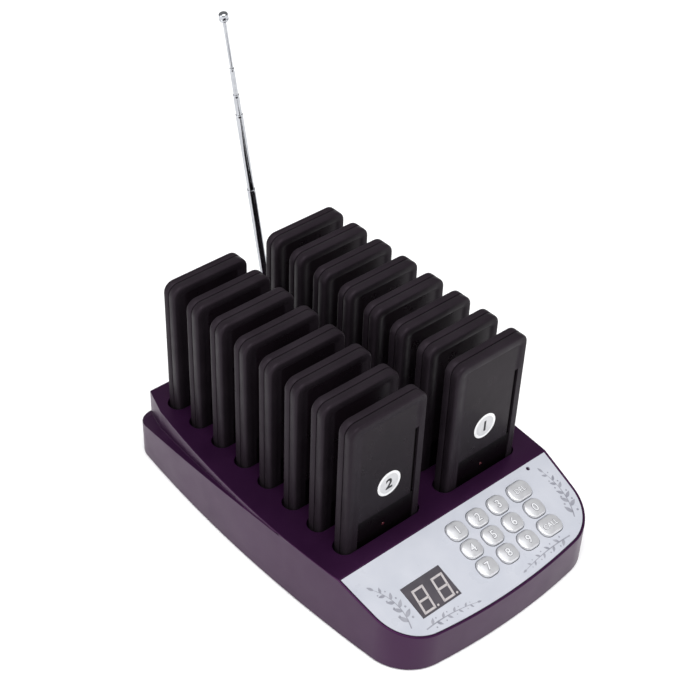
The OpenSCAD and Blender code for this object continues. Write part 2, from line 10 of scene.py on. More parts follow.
import bmesh
import bpy
import numpy as np
from mathutils import Euler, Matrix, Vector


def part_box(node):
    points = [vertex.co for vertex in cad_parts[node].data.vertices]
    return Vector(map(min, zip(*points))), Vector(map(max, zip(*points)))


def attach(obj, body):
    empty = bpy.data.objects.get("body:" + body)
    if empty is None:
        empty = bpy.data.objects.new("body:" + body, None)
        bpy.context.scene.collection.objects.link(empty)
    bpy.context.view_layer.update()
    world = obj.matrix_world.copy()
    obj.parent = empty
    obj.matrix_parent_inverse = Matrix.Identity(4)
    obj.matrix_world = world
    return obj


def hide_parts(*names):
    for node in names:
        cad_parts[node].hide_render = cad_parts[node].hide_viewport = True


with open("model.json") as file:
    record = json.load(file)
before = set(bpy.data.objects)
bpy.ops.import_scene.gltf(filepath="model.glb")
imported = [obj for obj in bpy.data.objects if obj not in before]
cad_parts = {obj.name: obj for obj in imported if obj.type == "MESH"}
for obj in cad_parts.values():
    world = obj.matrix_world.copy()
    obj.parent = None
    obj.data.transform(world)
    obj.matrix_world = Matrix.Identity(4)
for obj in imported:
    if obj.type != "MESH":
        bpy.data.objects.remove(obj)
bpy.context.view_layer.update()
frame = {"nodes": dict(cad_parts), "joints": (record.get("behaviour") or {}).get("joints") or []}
nodes = frame["nodes"]

MM = 0.001
ROWS = 8

# ---------- Sizes shared with the CAD model, in millimetres ----------

PAGER_W, PAGER_T, PAGER_H = 48.2, 9.5, 99.5
PAGER_CORNER, PAGER_EDGE = 6.0, 1.5
SEAM_W, SEAM_DEPTH = 0.5, 0.6
WINDOW_FRAME, WINDOW_FOOT = 4.6, 14.0
POCKET_DEPTH = 20.0
DECK_H = 37.8
SLOPE_Y, SLOPE_DEG = -65.0, 18.2
PANEL_V = 0.6
LEDGE_START = 22.0
# how far before and behind the ledge's start, and how far below the deck, a point counts as in the groove
GROOVE_REACH, GROOVE_BELOW = 2.5, 0.1
PANEL_TOP = -0.2
DISPLAY_X, DISPLAY_V = -36.0, 28.4
KEY_V, KEY_PITCH_V = 10.5, 11.6
KEY_COLUMNS = (-2.6, 11.7, 26.0, 41.7)
KEY_W, WIDE_KEY_W, KEY_L, KEY_R = 11.3, 14.0, 10.2, 4.1
KEY_FOOT, KEY_SHOW = -2.2, 1.5
KEYS = ("1", "2", "3", "del", "4", "5", "6", "0", "7", "8", "9", "call")
TUBE_D, TUBE_STEP, TUBE_GAP = 4.6, 0.7, 0.05
TUBE_L, TUBE_STOP, TUBE_SHORTER = 121.0, 10.9, 3.0
SHOWS = (0.0, 49.0, 12.2, 15.9, 27.5)
CAP_R, CAP_H = 2.4, 4.4


# ---------- Materials ----------

def srgb(code):
    """Linear red, green, blue and alpha of an sRGB hex colour."""
    parts = [int(code[i:i + 2], 16) / 255 for i in (1, 3, 5)]
    return tuple(p / 12.92 if p <= 0.04045 else ((p + 0.055) / 1.055) ** 2.4 for p in parts) + (1.0,)


def add(tree, kind, links=(), **settings):
    """A node of one kind with its input values or properties set and its inputs linked."""
    node = tree.nodes.new(kind)
    for name, value in settings.items():
        if name.startswith("in_"):
            key = name[3:]
            node.inputs[int(key) if key.isdigit() else key.replace("_", " ")].default_value = value
        else:
            setattr(node, name, value)
    for source, target in links:
        tree.links.new(source, node.inputs[target])
    return node


def new_material(name, colour, **sockets):
    """A Principled material with its plain values set on the shader's own sockets."""
    made = bpy.data.materials.new(name)
    made.use_nodes = True
    tree = made.node_tree
    shader = tree.nodes["Principled BSDF"]
    shader.inputs["Base Color"].default_value = srgb(colour)
    for socket, value in sockets.items():
        shader.inputs[socket.replace("_", " ")].default_value = value
    return made, tree, shader


def mottle(tree, shader, tones, grain_mm, detail=3.0):
    """Colour that wanders between two tones in soft patches of about grain_mm."""
    place = add(tree, "ShaderNodeTexCoord")
    patches = add(tree, "ShaderNodeTexNoise", [(place.outputs["Object"], "Vector")],
                  in_Scale=1.0 / (grain_mm * MM), in_Detail=detail)
    ramp = add(tree, "ShaderNodeValToRGB", [(patches.outputs["Fac"], "Fac")])
    ramp.color_ramp.elements[0].position = 0.3
    ramp.color_ramp.elements[1].position = 0.7
    ramp.color_ramp.elements[0].color = srgb(tones[0])
    ramp.color_ramp.elements[1].color = srgb(tones[1])
    tree.links.new(ramp.outputs["Color"], shader.inputs["Base Color"])
    return place


def vary_roughness(tree, shader, place, low, high, grain_mm):
    """Roughness that wanders between low and high, as handled plastic or metal has."""
    patches = add(tree, "ShaderNodeTexNoise", [(place.outputs["Object"], "Vector")],
                  in_Scale=1.0 / (grain_mm * MM), in_Detail=4.0)
    spread = add(tree, "ShaderNodeMapRange", [(patches.outputs["Fac"], "Value")],
                 in_1=0.3, in_2=0.7, in_3=low, in_4=high)
    tree.links.new(spread.outputs["Result"], shader.inputs["Roughness"])


def spark_texture(tree, shader, place, grain_mm, depth_mm, strength):
    """Fine spark-eroded mould texture as bump."""
    grain = add(tree, "ShaderNodeTexNoise", [(place.outputs["Object"], "Vector")],
                in_Scale=1.0 / (grain_mm * MM), in_Detail=2.0)
    bump = add(tree, "ShaderNodeBump", [(grain.outputs["Fac"], "Height")],
               in_Strength=strength, in_Distance=depth_mm * MM)
    tree.links.new(bump.outputs["Normal"], shader.inputs["Normal"])


def purple_abs():
    """Injection-moulded ABS, dyed dark purple and polished: deep colour under clear reflections."""
    made, tree, shader = new_material("purple_moulded_abs", "#1d0a20", Roughness=0.34, IOR=1.52,
                                      Specular_IOR_Level=0.36, Specular_Tint=(1.0, 0.35, 1.0, 1.0))
    place = mottle(tree, shader, ("#1b091e", "#200c23"), 30)
    vary_roughness(tree, shader, place, 0.3, 0.38, 12)
    # real texture is about 0.1 mm; drawn at 0.5 mm so that it shows
    spark_texture(tree, shader, place, 0.5, 0.02, 0.12)
    return made


def dark_abs():
    """Unpolished purple-black ABS of the bottom cover: a dull, even dark face."""
    made, tree, shader = new_material("bottom_cover_abs", "#1f1122", Roughness=0.55, IOR=1.52)
    place = mottle(tree, shader, ("#1c0f1f", "#231427"), 20)
    spark_texture(tree, shader, place, 0.8, 0.05, 0.4)
    return made


def black_rubber():
    """Moulded nitrile rubber: matt black with a greyish bloom."""
    made, tree, shader = new_material("nitrile_rubber", "#161617", Roughness=0.8, IOR=1.5)
    place = mottle(tree, shader, ("#131314", "#1d1d1e"), 2)
    spark_texture(tree, shader, place, 0.4, 0.05, 0.5)
    return made


def black_abs():
    """Satin black ABS of a pager: soft grey highlights that follow its edges."""
    made, tree, shader = new_material("pager_black_abs", "#211c21", Roughness=0.42, IOR=1.52,
                                      Specular_IOR_Level=0.08, Specular_Tint=(1.0, 0.84, 1.0, 1.0))
    place = mottle(tree, shader, ("#1e191e", "#241f24"), 14)
    vary_roughness(tree, shader, place, 0.38, 0.48, 8)
    spark_texture(tree, shader, place, 0.5, 0.03, 0.25)
    return made


def window_acrylic():
    """Black-backed acrylic of a pager's window: an even, dark satin, a little smoother than the shell."""
    made, tree, shader = new_material("pager_window_acrylic", "#151014", Roughness=0.3, IOR=1.49,
                                      Specular_IOR_Level=0.11, Specular_Tint=(1.0, 0.84, 1.0, 1.0))
    place = mottle(tree, shader, ("#130e12", "#181217"), 20)
    vary_roughness(tree, shader, place, 0.26, 0.36, 6)
    return made


def lamp_acrylic_and_slit_shade():
    """Smoked acrylic over the lamp at a pager's foot: deep black. The same deep black is put on the wall and
    floor of the slit beside the window as painted shade.
    """
    made, tree, shader = new_material("smoked_lamp_acrylic_and_painted_slit_shade", "#060405", Roughness=0.3, IOR=1.49,
                                      Specular_IOR_Level=0.08)
    place = mottle(tree, shader, ("#050304", "#080607"), 10)
    vary_roughness(tree, shader, place, 0.26, 0.36, 6)
    return made


def silver_panel():
    """Pearl-silver painted polycarbonate panel: pale, slightly blue, with a soft sheen."""
    made, tree, shader = new_material("pearl_silver_polycarbonate", "#b1b4bc", Roughness=0.34, IOR=1.58,
                                      Specular_IOR_Level=0.3)
    place = mottle(tree, shader, ("#adb0b9", "#b6b8c0"), 18)
    vary_roughness(tree, shader, place, 0.26, 0.36, 10)
    spark_texture(tree, shader, place, 0.4, 0.01, 0.15)
    return made


def scroll_ink():
    """Screen-printed pale grey ink of the ornament, a little duller than the panel."""
    made, tree, shader = new_material("ornament_screen_ink", "#85868f", Roughness=0.45, IOR=1.5)
    mottle(tree, shader, ("#7c7d87", "#93949c"), 5)
    return made


def silver_key():
    """Silver-sprayed silicone key cap: pale, with a soft highlight on its crown."""
    made, tree, shader = new_material("sprayed_silicone_key", "#c8c8cc", Roughness=0.3, IOR=1.45,
                                      Metallic=0.5, Specular_IOR_Level=0.5)
    place = mottle(tree, shader, ("#c3c3c7", "#cecfd2"), 4)
    spark_texture(tree, shader, place, 0.4, 0.02, 0.2)
    return made


def legend_painted_shade():
    """Painted shade at the foot of a key's raised legend: a mid grey outline that stands in for the shade on
    the legend's sides.
    """
    made, tree, shader = new_material("key_legend_painted_shade", "#77777c", Roughness=0.5, IOR=1.45)
    mottle(tree, shader, ("#717176", "#7d7d82"), 2)
    return made


def legend_painted_highlight():
    """Raised legend of a key, coloured a little brighter than the cap round it: a painted highlight on its
    top.
    """
    made, tree, shader = new_material("key_legend_painted_highlight", "#cfd0d3", Roughness=0.4, IOR=1.45)
    mottle(tree, shader, ("#c9cacd", "#d8d9dc"), 2)
    return made


def display_face():
    """Dark grey epoxy face of the LED display."""
    made, tree, shader = new_material("display_grey_epoxy", "#3f3b42", Roughness=0.32, IOR=1.55)
    place = mottle(tree, shader, ("#3b373e", "#443f46"), 6)
    vary_roughness(tree, shader, place, 0.28, 0.4, 5)
    return made


def display_segment():
    """Milky diffuser of an unlit segment: pale grey with a soft surface."""
    made, tree, shader = new_material("segment_diffuser", "#aaa4a5", Roughness=0.5, IOR=1.5)
    mottle(tree, shader, ("#a49e9f", "#b0abab"), 2)
    return made


def chrome():
    """Chrome plate on drawn brass tube: a bright mirror with a faintly uneven sheen."""
    made, tree, shader = new_material("antenna_chrome_plate", "#b3b5ba", Metallic=1.0, Roughness=0.12)
    place = mottle(tree, shader, ("#acaeb3", "#babcc0"), 3)
    vary_roughness(tree, shader, place, 0.08, 0.18, 2)
    return made


def zinc_steel():
    """Zinc-plated steel of the screws: grey, cloudy metal."""
    made, tree, shader = new_material("zinc_plated_steel", "#a9aaae", Metallic=1.0, Roughness=0.35)
    place = mottle(tree, shader, ("#9c9da2", "#b6b7bb"), 1.5)
    vary_roughness(tree, shader, place, 0.3, 0.45, 1)
    return made


def gold_contact():
    """Flash-gold plate on a brass contact pin: warm, bright metal."""
    made, tree, shader = new_material("flash_gold_brass", "#d9b263", Metallic=1.0, Roughness=0.25)
    mottle(tree, shader, ("#cfa656", "#e0bd72"), 1)
    return made


def circuit_board():
    """Green solder mask on glass epoxy: glossy, with a faintly uneven tone."""
    made, tree, shader = new_material("solder_mask_epoxy", "#14482c", Roughness=0.35, IOR=1.55)
    mottle(tree, shader, ("#123f27", "#1a5535"), 3)
    return made


def grey_silicone():
    """Grey silicone of the key mat: soft and waxy."""
    made, tree, shader = new_material("grey_silicone_mat", "#b5b5b3", Roughness=0.6, IOR=1.42)
    mottle(tree, shader, ("#aeaeac", "#bcbcba"), 4)
    return made


def black_nylon():
    """Glass-filled black nylon of the power jack: dull with a fine speckle."""
    made, tree, shader = new_material("black_nylon", "#151516", Roughness=0.5, IOR=1.53)
    place = mottle(tree, shader, ("#121213", "#1c1c1e"), 0.6)
    spark_texture(tree, shader, place, 0.3, 0.02, 0.4)
    return made


def sticker_paper():
    """Gloss-laminated white paper sticker."""
    made, tree, shader = new_material("laminated_white_paper", "#eeeeee", Roughness=0.3, IOR=1.5)
    mottle(tree, shader, ("#e9e9ea", "#f4f4f4"), 3)
    return made


def printed_grey():
    """Pale grey print of a sticker's middle field."""
    made, tree, shader = new_material("printed_pale_grey", "#cfcfd1", Roughness=0.32, IOR=1.5)
    mottle(tree, shader, ("#cacacc", "#d4d4d6"), 2)
    return made


def printed_black():
    """Black toner of a printed number: slightly grey at its grain."""
    made, tree, shader = new_material("printed_black_toner", "#1a1a1c", Roughness=0.45, IOR=1.5)
    mottle(tree, shader, ("#161618", "#222225"), 0.5)
    return made


def red_lens():
    """Red epoxy lens of the pager's lamp, unlit: dark red with a bright glint."""
    made, tree, shader = new_material("red_epoxy_lens", "#4a1c20", Roughness=0.15, IOR=1.55)
    mottle(tree, shader, ("#40171b", "#5a262c"), 0.6)
    return made


def studio_paper():
    """Pale paper sweep of a photo studio."""
    made, tree, shader = new_material("pale_studio_paper", "#fbfbfc", Roughness=0.9, IOR=1.4)
    mottle(tree, shader, ("#f9f9fa", "#fcfcfd"), 60)
    return made


HOUSING, BOTTOM, RUBBER = purple_abs(), dark_abs(), black_rubber()
PAGER, WINDOW, LAMP_ACRYLIC_AND_SLIT_SHADE = black_abs(), window_acrylic(), lamp_acrylic_and_slit_shade()
PANEL, INK, KEY = silver_panel(), scroll_ink(), silver_key()
LEGEND, LEGEND_PAINTED_SHADE = legend_painted_highlight(), legend_painted_shade()
FACE, SEGMENT = display_face(), display_segment()
CHROME, ZINC, GOLD = chrome(), zinc_steel(), gold_contact()
BOARD, SILICONE, NYLON = circuit_board(), grey_silicone(), black_nylon()
PAPER, GREY_PRINT, TONER, LENS = sticker_paper(), printed_grey(), printed_black(), red_lens()


# ---------- Making meshes ----------

def finish_mesh(name, points, faces, materials, face_material=None, sharp_deg=35):
    """Object at the origin from an array of points in millimetres and a list of faces."""
    mesh = bpy.data.meshes.new(name)
    mesh.from_pydata((np.asarray(points) * MM).tolist(), [], faces)
    for material in materials:
        mesh.materials.append(material)
    if face_material is not None:
        mesh.polygons.foreach_set("material_index", np.asarray(face_material, dtype=np.int32))
    mesh.polygons.foreach_set("use_smooth", np.ones(len(mesh.polygons), dtype=bool))
    mesh.set_sharp_from_angle(angle=math.radians(sharp_deg))
    mesh.update()
    made = bpy.data.objects.new(name, mesh)
    bpy.context.scene.collection.objects.link(made)
    return made


def ring_faces(rings, count, cap_start=True, cap_end=True):
    """Faces of a loft: quads between neighbouring rings of count points, and a cap at each end."""
    first = np.arange(rings - 1)[:, None] * count
    here = np.arange(count)[None, :]
    following = (here + 1) % count
    above = first + count
    quads = np.stack([first + here, first + following, above + following, above + here], axis=-1)
    faces = quads.reshape(-1, 4).tolist()
    if cap_start:
        faces.append(list(range(count - 1, -1, -1)))
    if cap_end:
        faces.append(list(range((rings - 1) * count, rings * count)))
    return faces


def rounded_ring(half_w, half_h, radius, corner=8, levels=()):
    """Points of a rounded rectangle, anticlockwise from the right end of its foot.

    Each corner is a quarter circle of the radius; the corners join by straight sides, which
    carry a point at each of the heights in levels.
    """
    rise = np.asarray(levels, dtype=float)
    turns = []
    for k, (sx, sy) in enumerate([(1, -1), (1, 1), (-1, 1), (-1, -1)]):
        angle = np.radians(np.linspace(-90, 0, corner + 1) + 90 * k)
        centre = np.array([sx * (half_w - radius), sy * (half_h - radius)])
        turns.append(centre + radius * np.stack([np.cos(angle), np.sin(angle)], axis=-1))
        if k == 0:
            turns.append(np.column_stack([np.full(len(rise), half_w), rise]))
        if k == 2:
            turns.append(np.column_stack([np.full(len(rise), -half_w), rise[::-1]]))
    return np.concatenate(turns)


def quarter(radius, steps):
    """Inset and height along a quarter round, from the wall (0, 0) to the top (radius, radius)."""
    angle = np.radians(np.linspace(0, 90, steps + 1))
    return np.stack([radius * (1 - np.cos(angle)), radius * np.sin(angle)], axis=-1)


# ---------- Base ----------

for name, material in [("base_upper_shell", HOUSING), ("base_lower_shell", BOTTOM), ("rubber_feet", RUBBER),
                       ("base_screws", ZINC), ("panel_plate", PANEL), ("display_module", FACE),
                       ("key_mat", SILICONE), ("circuit_boards", BOARD), ("charge_contacts", GOLD),
                       ("power_jack", NYLON), ("antenna_knuckle", CHROME)]:
    nodes[name].data.materials.clear()
    nodes[name].data.materials.append(material)


def soft_housing():
    """The upper shell with its doubles merged, its curved walls smooth and a small round on every edge.

    In the solid the ledge's cut starts 2 mm before the raised block does, which leaves a groove across
    the deck, 0.085 mm deep at its end. The points at its foot are raised here to the deck's height.
    """
    mesh = nodes["base_upper_shell"].data.copy()
    points = np.zeros(len(mesh.vertices) * 3)
    mesh.vertices.foreach_get("co", points)
    points = points.reshape(-1, 3)
    height, run = points[:, 2] / MM, points[:, 1] / MM - (SLOPE_Y + LEDGE_START)
    in_groove = (height > DECK_H - GROOVE_BELOW) & (height < DECK_H) & (np.abs(run) < GROOVE_REACH)
    points[in_groove, 2] = DECK_H * MM
    mesh.vertices.foreach_set("co", points.ravel())
    work = bmesh.new()
    work.from_mesh(mesh)
    bmesh.ops.remove_doubles(work, verts=work.verts, dist=0.001 * MM)
    bmesh.ops.dissolve_limit(work, angle_limit=math.radians(0.2), verts=work.verts, edges=work.edges)
    work.to_mesh(mesh)
    work.free()
    mesh.polygons.foreach_set("use_smooth", np.ones(len(mesh.polygons), dtype=bool))
    mesh.set_sharp_from_angle(angle=math.radians(30))
    made = bpy.data.objects.new("housing_soft_edges", mesh)
    bpy.context.scene.collection.objects.link(made)
    rounding = made.modifiers.new("edge_round", "BEVEL")
    rounding.width = 0.45 * MM
    rounding.segments = 3
    rounding.limit_method = "ANGLE"
    rounding.angle_limit = math.radians(35)
    rounding.use_clamp_overlap = False
    rounding.harden_normals = True
    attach(made, "base")
    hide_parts("base_upper_shell")


soft_housing()


# ---------- Keypad ----------

SLOPE = math.radians(SLOPE_DEG)


def on_slope(points):
    """Points in the row frame.

    They are given as x to the right, v down from the panel's top edge and h out of the slope.
    """
    x, v, h = np.moveaxis(np.asarray(points, dtype=float), -1, 0)
    down = v + PANEL_V
    y = SLOPE_Y - down * math.cos(SLOPE) - h * math.sin(SLOPE)
    z = DECK_H - down * math.sin(SLOPE) + h * math.cos(SLOPE)
    return np.stack([x, y, z], axis=-1)


def text_mesh(name, words, size, height, place, material, bold=0.0):
    """Flat letters, extruded by height.

    Their points are moved by place, a function of x, y and h in millimetres.
    """
    curve = bpy.data.curves.new(name, "FONT")
    curve.body = words
    curve.size = size
    curve.align_x, curve.align_y = "CENTER", "CENTER"
    curve.extrude = height / 2
    curve.offset = bold
    curve.resolution_u = 4
    drawn = bpy.data.objects.new(name + "_drawn", curve)
    bpy.context.scene.collection.objects.link(drawn)
    mesh = bpy.data.meshes.new_from_object(drawn)
    bpy.data.objects.remove(drawn)
    points = np.zeros(len(mesh.vertices) * 3)
    mesh.vertices.foreach_get("co", points)
    points = points.reshape(-1, 3)
    points[:, 0] -= (points[:, 0].min() + points[:, 0].max()) / 2
    points[:, 1] -= (points[:, 1].min() + points[:, 1].max()) / 2
    mesh.vertices.foreach_set("co", (place(points) * MM).ravel())
    mesh.materials.clear()
    mesh.materials.append(material)
    mesh.update()
    made = bpy.data.objects.new(name, mesh)
    bpy.context.scene.collection.objects.link(made)
    return made


def key_cap(key, x, v, width):
    """Key cap: rounded-rectangle rings up a straight side, round a soft edge and over a low crown.

    The crown rises as a parabola of the share of the way in from the edge to the middle.
    """
    edge, crown, least_r = 1.2, 0.35, 0.5
    shares = (0.8, 0.6, 0.4, 0.2, 0.05)
    top = KEY_SHOW - crown
    sides = [(0.0, KEY_FOOT), (0.0, top - edge)]
    sides += [(inset, top - edge + rise) for inset, rise in quarter(edge, 6)[1:]]
    half_w, half_l = width / 2, KEY_L / 2
    outlines = [rounded_ring(half_w - t, half_l - t, max(KEY_R - t, least_r)) for t, h in sides]
    count = len(outlines[0])
    rings = [np.column_stack([outline, np.full(count, h)]) for outline, (t, h) in zip(outlines, sides)]
    inner = rings[-1]
    for share in shares:
        ring = inner * [share, share, 1]
        ring[:, 2] = top + crown * (1 - share * share)
        rings.append(ring)
    points = np.concatenate(rings)
    placed = on_slope(points * [1, -1, 1] + [x, v, 0])
    made = finish_mesh(f"key_cap_{key}", placed, ring_faces(len(rings), count), [KEY], sharp_deg=60)
    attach(made, f"key_{key}_cap")
    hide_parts(f"key_{key}")
    words = {"del": "DEL", "call": "CALL"}.get(key, key)
    digit_size, word_size, sunk = 6.2, 3.9, 0.1
    size = word_size if len(words) > 1 else digit_size

    # the foot is a bolder, lower copy in mid grey: painted shade that outlines the legend's sides
    # the top is a little brighter than the cap: a painted highlight on the legend
    for part, height, bold, material in [("foot", 0.24, 0.3, LEGEND_PAINTED_SHADE), ("top", 0.42, 0.04, LEGEND)]:
        def place(p):
            return on_slope(np.stack([x + p[:, 0], v - p[:, 1], p[:, 2] + KEY_SHOW - sunk], axis=-1))

        legend = text_mesh(f"key_legend_{part}_{key}", words, size, height, place, material,
                           bold=bold * size / digit_size)
        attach(legend, f"key_{key}_cap")


for index, key in enumerate(KEYS):
    column, row = index % 4, index // 4
    wide = column == 3 and row != 1
    key_cap(key, KEY_COLUMNS[column], KEY_V + row * KEY_PITCH_V, WIDE_KEY_W if wide else KEY_W)


# ---------- Display ----------

def digit_outlines(width, height, bar, gap):
    """Outlines of a digit's seven bars.

    Mitred trapezoids stand at its top, foot and sides, and a six-sided bar lies between.
    """
    w, h = width / 2, height / 2
    top = np.array([(gap - w, h), (w - gap, h), (w - bar - gap, h - bar), (bar + gap - w, h - bar)])
    side = np.array([(w, h - gap), (w, gap), (w - bar / 2, gap), (w - bar, bar / 2 + gap),
                     (w - bar, h - bar - gap)])
    end, inner = w - bar / 2 - gap, w - bar - gap
    middle = np.array([(-end, 0), (-inner, bar / 2), (inner, bar / 2),
                       (end, 0), (inner, -bar / 2), (-inner, -bar / 2)])
    flips = [(top, 1, 1), (top, 1, -1)]
    flips += [(side, x, y) for x in (1, -1) for y in (1, -1)]
    flips += [(middle, 1, 1)]
    return [(outline * [x, y])[::x * y] for outline, x, y in flips]


def display_digits():
    """Two digits of seven bars each and a point, sheared to the right as on such modules."""
    digit_w, digit_h, bar, slant, pitch = 7.45, 13.1, 1.15, math.tan(math.radians(8.6)), 12.6
    right, down, point_r, gap = 0.45, 1.3, 0.62, 0.06
    angle = np.radians(np.arange(0, -360, -30))
    point = np.stack([np.cos(angle), np.sin(angle)], -1) * point_r + [digit_w / 2 + 1.5, (bar - digit_h) / 2]
    outlines = [outline + [digit * pitch / 2 + right, 0]
                for digit in (-1, 1) for outline in digit_outlines(digit_w, digit_h, bar, gap) + [point]]
    solid, faces, start = [], [], 0
    for outline in outlines:
        n = len(outline)
        sheared = outline + np.column_stack([outline[:, 1] * slant, np.zeros(n)])
        across, along = DISPLAY_X + sheared[:, 0], DISPLAY_V + down - sheared[:, 1]
        for h in (PANEL_TOP - 0.2, PANEL_TOP + 0.02):
            solid.append(np.column_stack([across, along, np.full(n, h)]))
        faces += [[start + (i + 1) % n, start + i, start + n + i, start + n + (i + 1) % n] for i in range(n)]
        faces.append([start + n + i for i in range(n - 1, -1, -1)])
        faces.append([start + i for i in range(n)])
        start += 2 * n
    made = finish_mesh("display_segments", on_slope(np.concatenate(solid)), faces, [SEGMENT])
    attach(made, "base")


display_digits()


# ---------- Printed ornament ----------

def stem_line(start, end, bend, steps=24):
    """Centre line of a stem, its headings and its normals: a parabola that bows sideways by bend."""
    start, end = np.array(start, dtype=float), np.array(end, dtype=float)
    s = np.linspace(0, 1, steps)[:, None]
    along = end - start
    across = np.array([-along[1], along[0]]) / np.linalg.norm(along)
    line = start + along * s + across * bend * 4 * s * (1 - s)
    heading = along + across * bend * 4 * (1 - 2 * s)
    heading /= np.linalg.norm(heading, axis=1, keepdims=True)
    return line, heading, np.column_stack([-heading[:, 1], heading[:, 0]])


def leaf_outline(root, heading, length, width, steps=9):
    """Almond leaf: half width follows the sine of the share of its length, a little fuller near its root."""
    s = np.linspace(0, 1, steps)
    half = width / 2 * np.sin(np.pi * s ** 0.8)
    across = np.array([-heading[1], heading[0]])
    upper = root + np.outer(s * length, heading) + np.outer(half, across)
    lower = root + np.outer(s * length, heading) - np.outer(half, across)
    return np.concatenate([upper, lower[-2:0:-1]])


def turned(heading, degrees):
    c, s = math.cos(math.radians(degrees)), math.sin(math.radians(degrees))
    return np.array([heading[0] * c - heading[1] * s, heading[0] * s + heading[1] * c])


def sprig(start, end, bend, leaves, leaf_mm):
    """Outlines of one sprig: a tapering stem, leaves in turn on its two sides, and a berry for each."""
    line, heading, normal = stem_line(start, end, bend)
    half = np.linspace(0.35, 0.12, len(line))[:, None]
    outlines = [np.concatenate([line + normal * half, (line - normal * half)[::-1]])]
    for k in range(leaves):
        at = int((k + 1.2) / (leaves + 1) * (len(line) - 1))
        side = 1 if k % 2 else -1
        size = leaf_mm * (1 - 0.45 * k / leaves)
        outlines.append(leaf_outline(line[at], turned(heading[at], 48 * side), size, size * 0.42))
        berry = line[at] + turned(heading[at], -62 * side) * size * 0.62
        angle = np.radians(np.arange(0, 360, 30))
        outlines.append(berry + np.stack([np.cos(angle), np.sin(angle)], -1) * size * 0.12)
    outlines.append(leaf_outline(line[-1], heading[-1], leaf_mm * 0.7, leaf_mm * 0.28))
    return outlines


def panel_ornament():
    """Leafy sprigs printed on the panel: at its left end, at its right end and along its front edge."""
    outlines = []
    # start and end of each stem as x and v, its bend, its number of leaves and its largest leaf
    sprigs = [((-57, 38), (-60, 13), 3.5, 8, 5.6),
              ((-51, 42.4), (-20, 45), -1.2, 8, 3.8),
              ((57, 37), (61, 9), 3.0, 9, 5.4),
              ((47, 43.4), (14, 45.4), 1.0, 8, 4.0)]
    for start, end, bend, leaves, leaf_mm in sprigs:
        outlines += sprig(start, end, bend, leaves, leaf_mm)
    ink = 0.02
    points, faces, start = [], [], 0
    for outline in outlines:
        n = len(outline)
        points.append(np.column_stack([outline, np.full(n, PANEL_TOP + ink)]))
        face = list(range(start, start + n))
        area = np.sum(outline[:, 0] * np.roll(outline[:, 1], -1) - np.roll(outline[:, 0], -1) * outline[:, 1])
        faces.append(face if area < 0 else face[::-1])
        start += n
    made = finish_mesh("panel_ornament", on_slope(np.concatenate(points)), faces, [INK])
    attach(made, "base")


panel_ornament()


# ---------- Pagers ----------

def pager_place(number):
    """Foot of a pager, in millimetres: pagers 1 to 8 stand in the left column, front to rear."""
    low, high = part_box(f"pager_{number}_rear_shell")
    return np.array([(low[0] + high[0]) / 2 / MM, high[1] / MM - PAGER_T / 2, low[2] / MM])


BAND_TOP = POCKET_DEPTH + 15.9
SLIT_TOP = PAGER_H - 20.8
# heights of the points up a cover's straight sides; a close pair stands at each step of the window
LEVELS = np.array([18, 24, 30, BAND_TOP - 0.1, BAND_TOP + 0.1, 44, 52, 60, 70,
                   SLIT_TOP - 0.1, SLIT_TOP + 0.1])
PANE_SUNK, BAND_SUNK, SLIT_SUNK = 0.06, 0.5, 1.25
BAND_SIDE, SLIT_W, CHAMFER = 2.4, 2.2, 0.12
# the third slot holds the lamp's smoked acrylic, which also serves as painted shade in the slit
SHELL_SLOT, PANE_SLOT, LAMP_AND_SLIT_SHADE_SLOT = 0, 1, 2
# room for rounding when a height is compared with the top of the band or the slit
STEP_ROOM = 0.05


def window_sink(z):
    """Depth of the window at a height z: a nearly flush pane, and the deeper lamp band at its foot."""
    return np.where(z < BAND_TOP, BAND_SUNK, PANE_SUNK)


def slit_sink(z):
    """Depth along the window's right side, where a slit runs from SLIT_TOP down to the band."""
    return np.where((z > BAND_TOP) & (z < SLIT_TOP), SLIT_SUNK, window_sink(z))


def face_ring(t, y):
    """Outline of a pager drawn in by t, at depth y, as points x, y, z from its foot."""
    ring = rounded_ring(PAGER_W / 2 - t, PAGER_H / 2 - t, PAGER_CORNER - t, levels=LEVELS - PAGER_H / 2)
    return np.column_stack([ring[:, 0], np.full(len(ring), y), ring[:, 1] + PAGER_H / 2])


def shell_rings(side):
    """Rings of a half shell from its joint line outwards; side is -1 for the front and 1 for the rear.

    A tongue closes the joint line, then come a small chamfer, the wall and a quarter round to the face.
    """
    face = PAGER_T / 2
    reach, overlap, chamfer = SEAM_W / 2, 0.9, 0.18
    profile = [(SEAM_DEPTH, -reach * overlap), (SEAM_DEPTH, reach), (chamfer, reach), (0.0, reach + chamfer)]
    profile += [(inset, face - PAGER_EDGE + rise) for inset, rise in quarter(PAGER_EDGE, 6)]
    return [face_ring(t, side * y) for t, y in profile]


